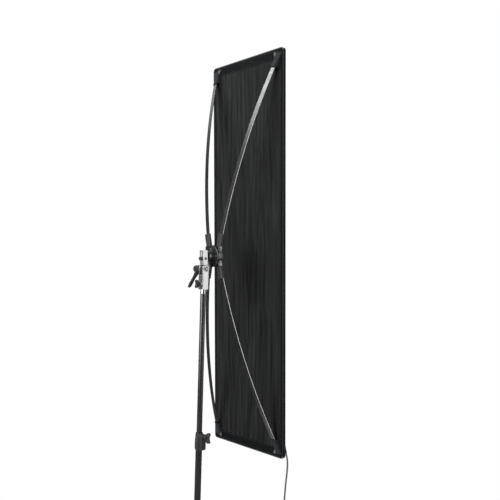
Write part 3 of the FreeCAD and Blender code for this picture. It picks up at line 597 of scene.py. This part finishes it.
def waist_folds(x, z):
    """An upright ridge and the hollow beside it, near the hub. From 0 to 1."""
    ridge = bump_line(x, z, (14 * MM, 0.17), (0.02, -1), 0.36, 4 * MM, 3 * MM)
    hollow = bump_line(x, z, (24 * MM, 0.15), (0.03, -1), 0.32, 5 * MM, 3 * MM)
    return ridge - hollow


def slack_sway(x, z):
    """The slow unevenness of loose cloth. The factors are radians per metre."""
    broad = np.sin(x * 37 + 2.1 * np.sin(z * 5.3)) * np.sin(z * 9.1 + 1.3)
    return broad + 0.6 * np.sin(z * 23 + x * 18)


def rear_relief(x, z):
    """How far the rear cloth stands out of its plane, in metres."""
    side = HALF_W - np.abs(x)
    end = HALF_H - np.abs(z)
    off_side_hem = smooth_step(side, SIDE_HEM - 1 * MM, SIDE_HEM + 1 * MM)
    off_end_hem = smooth_step(end, END_HEM - 1.5 * MM, END_HEM + 1.5 * MM)
    open_cloth = off_side_hem * off_end_hem
    ribs = RIB_HEIGHT * np.cos(2 * math.pi * x / RIB_PITCH)
    height = ribs * (RIB_SHARE_IN_HEM + (1 - RIB_SHARE_IN_HEM) * open_cloth)
    height += HEM_RISE * (1 - open_cloth)
    inside = smooth_step(side, 3 * MM, 26 * MM) * smooth_step(end, 8 * MM, 60 * MM)
    loose = corner_folds(x, z) + WAIST_HEIGHT * waist_folds(x, z) + SWAY_HEIGHT * slack_sway(x, z)
    height += loose * inside
    rim = smooth_step(np.minimum(side, end), 0.0, RIM_WIDTH)
    return height * rim - RIM_DROP * (1 - rim)


def make_rear_cover():
    columns = stations(HALF_W, CORNER, 1.4 * MM, RIB_PITCH / 4)
    rows = stations(HALF_H, 36 * MM, 3 * MM, 9 * MM)
    x, z = np.meshgrid(columns, rows)
    height = rear_relief(x, z)
    x, z = round_corners(x, z, HALF_W, HALF_H, CORNER)
    points = np.stack([x, height, z], -1).reshape(-1, 3)
    cover = panel_piece("rear_cover", points, grid_faces(len(rows), len(columns)),
                        [MATERIALS["back_fabric"], HEM_CLOTH])
    for polygon in cover.data.polygons:
        middle = TO_PANEL @ polygon.center
        inner = abs(middle.x) < HALF_W - SIDE_HEM and abs(middle.z) < HALF_H - END_HEM
        polygon.material_index = 0 if inner else 1
    thicken(cover, CLOTH, 1.0)
    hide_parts("back_cover")


# ---- the side wall, its seams and piping --------------------------------------------------
WALL_SWELL = 1.3 * MM
WALL_PUCKER = 0.35 * MM
WALL_WANDER = 0.5 * MM
WALL_LEVELS = 9
WALL_SEAM = 1.2 * MM            # the wall starts and ends this far inside the panel's depth
PIPING_SIDES = 8


def wall_bulge(place, share):
    """How far the side wall's cloth swells out at a share of its depth, puckered at its seams."""
    middle = math.sin(math.pi * share)
    along = place.x * 1.3 + place.z
    pucker = WALL_PUCKER * math.sin(along * 210) * (1 - middle) ** 2
    wander = WALL_WANDER * math.sin(along * 13 + 0.7) * middle
    return WALL_SWELL * middle + pucker + wander


def make_side_wall():
    ring = outline(HALF_W - CLOTH, HALF_H - CLOTH, CORNER, 6 * MM)
    points = []
    for level in range(WALL_LEVELS):
        share = level / (WALL_LEVELS - 1)
        for place, out in ring:
            lifted = place + out * wall_bulge(place, share)
            points.append((lifted.x, -WALL_SEAM - share * (DEPTH - 2 * WALL_SEAM), lifted.z))
    wall = panel_piece("side_band", points, grid_faces(WALL_LEVELS, len(ring), loop=True),
                       [MATERIALS["back_fabric"]])
    thicken(wall, CLOTH, -1.0)
    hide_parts("side_wall")


def make_rear_piping():
    """A corded edging round the rear cover, paler across the two ends."""
    radius = 1.5 * MM
    depth = 0.6 * MM
    ring = outline(HALF_W - radius * 0.4, HALF_H - radius * 0.4, CORNER, 8 * MM)
    points = []
    for place, out in ring:
        for k in range(PIPING_SIDES):
            angle = 2 * math.pi * k / PIPING_SIDES
            rise = Vector((0, -depth + radius * math.sin(angle), 0))
            points.append(place + out * (radius * math.cos(angle)) + rise)
    closed = points + points[:PIPING_SIDES]
    faces = grid_faces(len(ring) + 1, PIPING_SIDES, loop=True)
    piping = panel_piece("rear_piping", closed, faces, [BINDING, PALE_PIPING])
    for polygon in piping.data.polygons:
        at_end = abs((TO_PANEL @ polygon.center).z) > HALF_H - CORNER
        polygon.material_index = 1 if at_end else 0


# ---- stitches -----------------------------------------------------------------------------
STITCH_LENGTH = 3.2 * MM
STITCH_GAP = 1.6 * MM
STITCH_PITCH = STITCH_LENGTH + STITCH_GAP
STITCH_RADIUS = 0.45 * MM
STITCH_RINGS = ((-0.5, 0.25), (-0.3, 0.85), (0.0, 1.0), (0.3, 0.85), (0.5, 0.25))
STITCH_SIDES = 5
STITCH_INSET = 12 * MM          # a row stops this far from the panel's corners


def add_stitch(middle, direction, points, faces):
    """An oval bead along the direction. A ring is a share of the length and of the radius."""
    outward = Vector((0, 1, 0))
    across = direction.cross(outward).normalized()
    base = len(points)
    for along, share in STITCH_RINGS:
        for k in range(STITCH_SIDES):
            angle = 2 * math.pi * k / STITCH_SIDES
            spoke = across * math.cos(angle) + outward * math.sin(angle)
            points.append(middle + direction * (along * STITCH_LENGTH)
                          + spoke * (STITCH_RADIUS * share))
    bead = grid_faces(len(STITCH_RINGS), STITCH_SIDES, loop=True)
    faces += [tuple(base + i for i in face) for face in bead]
    faces.append(tuple(base + k for k in range(STITCH_SIDES)))
    last = base + (len(STITCH_RINGS) - 1) * STITCH_SIDES
    faces.append(tuple(last + k for k in reversed(range(STITCH_SIDES))))


def stitch_runs():
    """Start and end of each row: two along each end hem and one along each side hem."""
    runs = []
    for end in (-1, 1):
        for inset in (END_HEM - 3 * MM, 7 * MM):
            z = end * (HALF_H - inset)
            runs.append((Vector((-HALF_W + STITCH_INSET, 0, z)),
                         Vector((HALF_W - STITCH_INSET, 0, z))))
    for side in (-1, 1):
        x = side * (HALF_W - SIDE_HEM + 2.5 * MM)
        runs.append((Vector((x, 0, -HALF_H + STITCH_INSET)),
                     Vector((x, 0, HALF_H - STITCH_INSET))))
    return runs


def make_stitches():
    """Lock stitches that lie on the rear cover's relief."""
    points = []
    faces = []
    for start, end in stitch_runs():
        total = (end - start).length
        direction = (end - start).normalized()
        for number in range(int(total / STITCH_PITCH)):
            middle = start + direction * ((number + 0.5) * STITCH_PITCH)
            relief = rear_relief(np.array([middle.x]), np.array([middle.z]))[0]
            middle.y += float(relief) + STITCH_RADIUS * 0.4
            add_stitch(middle, direction, points, faces)
    panel_piece("hem_stitches", points, faces, [THREAD])


# ---- corner pockets -----------------------------------------------------------------------
POCKET_MOUTH = 555 * MM         # along the arm, from the foot of the hub's square to its line
POCKET_TOE = 597 * MM
POCKET_HALF = (11.5 * MM, 9.8 * MM)         # half width at the mouth and at the toe
POCKET_SEAM = 2.5 * MM          # the flat edge that is sewn down
POCKET_SEWN = 1.4 * MM          # that edge's height over the cover
POCKET_COVER = 3.2 * MM         # how far the cloth stands over the arm
POCKET_LOWEST_ARM = 0.8 * MM
POCKET_CLOSING = 9 * MM         # the length over which the toe comes down
POCKET_CLOTH = 0.9 * MM
POCKET_DENT = 0.04              # as a share of the height
POCKET_COLUMNS = 23
POCKET_ROWS = 21
TAB_INSET = (27 * MM, 21 * MM)  # in from the corner
TAB_BASE = 1.6 * MM
TAB_HALF_W = 5.2 * MM
TAB_STEP = 2.1 * MM
TAB_RISES = (0.0, 0.9, 1.6, 1.9, 1.5, 0.7, 0.0)     # millimetres, one at each step
TAB_SHARES = (-1, -0.6, 0, 0.6, 1)
TAPE = 0.8 * MM


def arm_depth(along):
    """The bowed arm's height over the rear face."""
    return HUB_DEPTH - ARM_SLOPE * along - along ** 2 / ARM_BOW


def on_arm(side, end, along, across, height):
    """A place given along and across an arm's line, in the panel's axes."""
    lean = math.radians(ARM_LEAN)
    x = ARM_OFFSET + along * math.sin(lean) - across * math.cos(lean)
    z = along * math.cos(lean) + across * math.sin(lean)
    return Vector((side * x, height, end * z))


def pocket_height(along, u):
    """A pouch's height over the cover, sewn down on all sides but its mouth. u is -1 to 1."""
    top = max(arm_depth(along), POCKET_LOWEST_ARM) + POCKET_COVER
    crown = (1 - abs(u) ** 5) ** 0.5
    shut = 1 - smooth_step(along, POCKET_TOE - POCKET_CLOSING, POCKET_TOE)
    dent = 1 - POCKET_DENT * math.cos(9 * u) * math.sin(180 * along)
    return float(POCKET_SEWN + (top - POCKET_SEWN) * crown * shut * dent)


def make_pocket(name, side, end):
    sweep = np.sin(np.linspace(-math.pi / 2, math.pi / 2, POCKET_COLUMNS))
    across = np.concatenate([[-1], sweep, [1]])
    rows = np.linspace(POCKET_MOUTH, POCKET_TOE, POCKET_ROWS)
    along = np.concatenate([rows, [POCKET_TOE + POCKET_SEAM]])
    points = []
    for place in along:
        share = (place - POCKET_MOUTH) / (POCKET_TOE - POCKET_MOUTH)
        half = POCKET_HALF[0] + (POCKET_HALF[1] - POCKET_HALF[0]) * share
        for number, u in enumerate(across):
            seam = POCKET_SEAM * ((number == len(across) - 1) - (number == 0))
            height = pocket_height(place, u)
            points.append(on_arm(side, end, place, u * half + seam, height))
    faces = grid_faces(len(along), len(across))
    if side * end < 0:
        faces = [tuple(reversed(face)) for face in faces]
    pocket = panel_piece(name, points, faces, [MATERIALS["pocket_fabric"]])
    thicken(pocket, POCKET_CLOTH, 1.0)
    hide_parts("corner_pockets")


def make_tab(name, side, end):
    """Short pale tab of folded tape, sewn flat beside a pocket's closed end."""
    start = Vector((side * (HALF_W - TAB_INSET[0]), TAB_BASE, end * (HALF_H - TAB_INSET[1])))
    direction = Vector((side * -0.5, 0, end * 0.87)).normalized()
    across = direction.cross(Vector((0, 1, 0))).normalized() * TAB_HALF_W
    points = []
    for step, rise in enumerate(TAB_RISES):
        for share in TAB_SHARES:
            middle = start + direction * (step * TAB_STEP)
            swell = Vector((0, rise * MM * (1 - 0.2 * abs(share)), 0))
            points.append(middle + across * share * (1 - 0.1 * step) + swell)
    faces = grid_faces(len(TAB_RISES), len(TAB_SHARES))
    tab = panel_piece(name, points, faces, [PALE_TAB])
    thicken(tab, TAPE, 0.0)


# ---- the lit face -------------------------------------------------------------------------
FRONT_INSET = 1.5 * MM
FRONT_CROWN = 2.2 * MM
FRONT_RIPPLE = 0.35 * MM
FRONT_RECESS = 1.4 * MM         # how far the cloth's edge lies inside the panel's depth
FRONT_SLOPE = 30 * MM           # the width over which the crown rises from the edge
# Millimetres in from the edge, and back from the lit face.
BINDING_PROFILE = ((-0.2, 3.5), (-0.3, 1.5), (0.2, 0.2), (1.0, -0.7), (5.0, -1.0), (9.0, -1.3),
                   (11.0, -1.0))


def make_diffuser():
    """The white front cloth, slightly crowned and rippled."""
    columns = stations(HALF_W - FRONT_INSET, 18 * MM, 2 * MM, 7 * MM)
    rows = stations(HALF_H - FRONT_INSET, 24 * MM, 2 * MM, 12 * MM)
    x, z = np.meshgrid(columns, rows)
    edge = np.minimum(HALF_W - np.abs(x), HALF_H - np.abs(z))
    crown = (1 - (x / HALF_W) ** 4) * (1 - (z / HALF_H) ** 8)
    ripple = FRONT_RIPPLE * np.sin(x * 41 + 1.7 * np.sin(z * 4)) * np.sin(z * 12)
    swell = (FRONT_CROWN * crown + ripple) * smooth_step(edge, 0.0, FRONT_SLOPE)
    y = -DEPTH + FRONT_RECESS - swell
    x, z = round_corners(x, z, HALF_W - FRONT_INSET, HALF_H - FRONT_INSET, CORNER)
    points = np.stack([x, y, z], -1).reshape(-1, 3)
    faces = [tuple(reversed(face)) for face in grid_faces(len(rows), len(columns))]
    front = panel_piece("front_diffuser", points, faces,
                        [MATERIALS["diffuser_fabric"]])
    thicken(front, CLOTH, 1.0)
    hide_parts("diffuser")


def make_front_binding():
    """Black tape folded over the lit face's edge."""
    ring = outline(HALF_W, HALF_H, CORNER, 8 * MM)
    points = []
    for inset, rise in BINDING_PROFILE:
        for place, out in ring:
            inner = place - out * (inset * MM)
            points.append((inner.x, -DEPTH + rise * MM, inner.z))
    faces = grid_faces(len(BINDING_PROFILE), len(ring), loop=True)
    binding = panel_piece("front_binding", points, faces, [BINDING])
    thicken(binding, TAPE, -1.0)


make_rear_cover()
make_side_wall()
make_rear_piping()
make_stitches()
for end_name, end in (("upper", 1), ("lower", -1)):
    for side_name, side in (("left", -1), ("right", 1)):
        make_pocket(f"pocket_{end_name}_{side_name}", side, end)
        make_tab(f"tab_{end_name}_{side_name}", side, end)
make_diffuser()
make_front_binding()


# ---- studio -------------------------------------------------------------------------------
FLOOR_RADIUS = 2.4
FLOOR_SIDES = 96
FLOOR_FADE = (0.6, 1.25)        # from solid to clear, metres from the middle
BACKDROP_RADIUS = 14.0
WORLD_LIGHT = 0.15
# Name, azimuth and elevation in degrees, distance, width and height in metres, power in watts.
SOFT_LIGHTS = (
    ("side_softbox", 212, 5, 2.6, 1.2, 2.4, 13),
    ("rear_softbox", 85, 10, 3.0, 2.0, 2.4, 60),
    ("far_high_softbox", 35, 49, 2.6, 0.8, 0.8, 15),
    ("front_softbox", 265, 25, 3.0, 1.5, 1.5, 40),
    ("overhead_softbox", 0, 90, 2.0, 2.0, 2.0, 16),
)


def shadeless_white():
    material = bpy.data.materials.new("backdrop_white")
    material.use_nodes = True
    tree = material.node_tree
    tree.nodes.remove(tree.nodes["Principled BSDF"])
    glow = tree.nodes.new("ShaderNodeEmission")
    glow.inputs["Color"].default_value = (1, 1, 1, 1)
    tree.links.new(glow.outputs[0], tree.nodes["Material Output"].inputs["Surface"])
    return material


def floor_paint():
    """Pale matt paint that thins out to nothing away from the object, over the white backdrop."""
    made = Shader("floor_paint", Emission_Color=(1, 1, 1, 1), Emission_Strength=0.18)
    made.colour(made.mix_colour(made.noise(3, 4), grey(0.84), grey(0.88)))
    made.roughness(made.noise(8), 0.6, 0.75)
    made.relief(made.noise(300, 2), 0.1 * MM, 0.3)
    distance = made.tree.nodes.new("ShaderNodeVectorMath")
    distance.operation = "LENGTH"
    made.link(made.place, distance, 0)
    fade = made.range(distance.outputs["Value"], 0.0, 1.0, *FLOOR_FADE)
    clear = made.tree.nodes.new("ShaderNodeBsdfTransparent")
    blend = made.tree.nodes.new("ShaderNodeMixShader")
    made.link(fade, blend, 0)
    made.link(made.surface.outputs[0], blend, 1)
    made.link(clear.outputs[0], blend, 2)
    made.link(blend.outputs[0], made.tree.nodes["Material Output"], "Surface")
    return made.material


def make_floor():
    mesh = bpy.data.meshes.new("floor")
    turns = [2 * math.pi * k / FLOOR_SIDES for k in range(FLOOR_SIDES)]
    rim = [(FLOOR_RADIUS * math.cos(turn), FLOOR_RADIUS * math.sin(turn), 0) for turn in turns]
    mesh.from_pydata(rim, [], [tuple(range(len(rim)))])
    mesh.materials.append(floor_paint())
    floor = bpy.data.objects.new("floor", mesh)
    bpy.context.scene.collection.objects.link(floor)


def make_backdrop():
    """A white dome that only the camera sees, so that it doesn't fill the gloss with white."""
    bpy.ops.mesh.primitive_uv_sphere_add(segments=48, ring_count=24, radius=BACKDROP_RADIUS)
    dome = bpy.context.object
    dome.name = "backdrop"
    dome.data.materials.append(shadeless_white())
    dome.visible_diffuse = False
    dome.visible_glossy = False
    dome.visible_transmission = False
    dome.visible_shadow = False


def soft_light(name, azimuth, elevation, distance, width, height, power):
    """A rectangular softbox aimed at the middle of the panel."""
    light = bpy.data.lights.new(name, "AREA")
    light.shape = "RECTANGLE"
    light.size = width
    light.size_y = height
    light.energy = power
    lamp = bpy.data.objects.new(name, light)
    bpy.context.scene.collection.objects.link(lamp)
    turn = math.radians(azimuth)
    rise = math.radians(elevation)
    level = Vector((math.cos(turn), math.sin(turn), 0)) * math.cos(rise)
    away = level + Vector((0, 0, math.sin(rise)))
    lamp.location = Vector((0, 0, HUB_HEIGHT)) + away * distance
    lamp.rotation_mode = "QUATERNION"
    lamp.rotation_quaternion = away.to_track_quat("Z", "Y")


def make_world():
    world = bpy.data.worlds.new("studio")
    world.use_nodes = True
    background = world.node_tree.nodes["Background"]
    background.inputs["Color"].default_value = (1, 1, 1, 1)
    background.inputs["Strength"].default_value = WORLD_LIGHT
    bpy.context.scene.world = world
    bpy.context.scene.view_settings.view_transform = "Standard"


make_floor()
make_backdrop()
make_world()
for light_row in SOFT_LIGHTS:
    soft_light(*light_row)
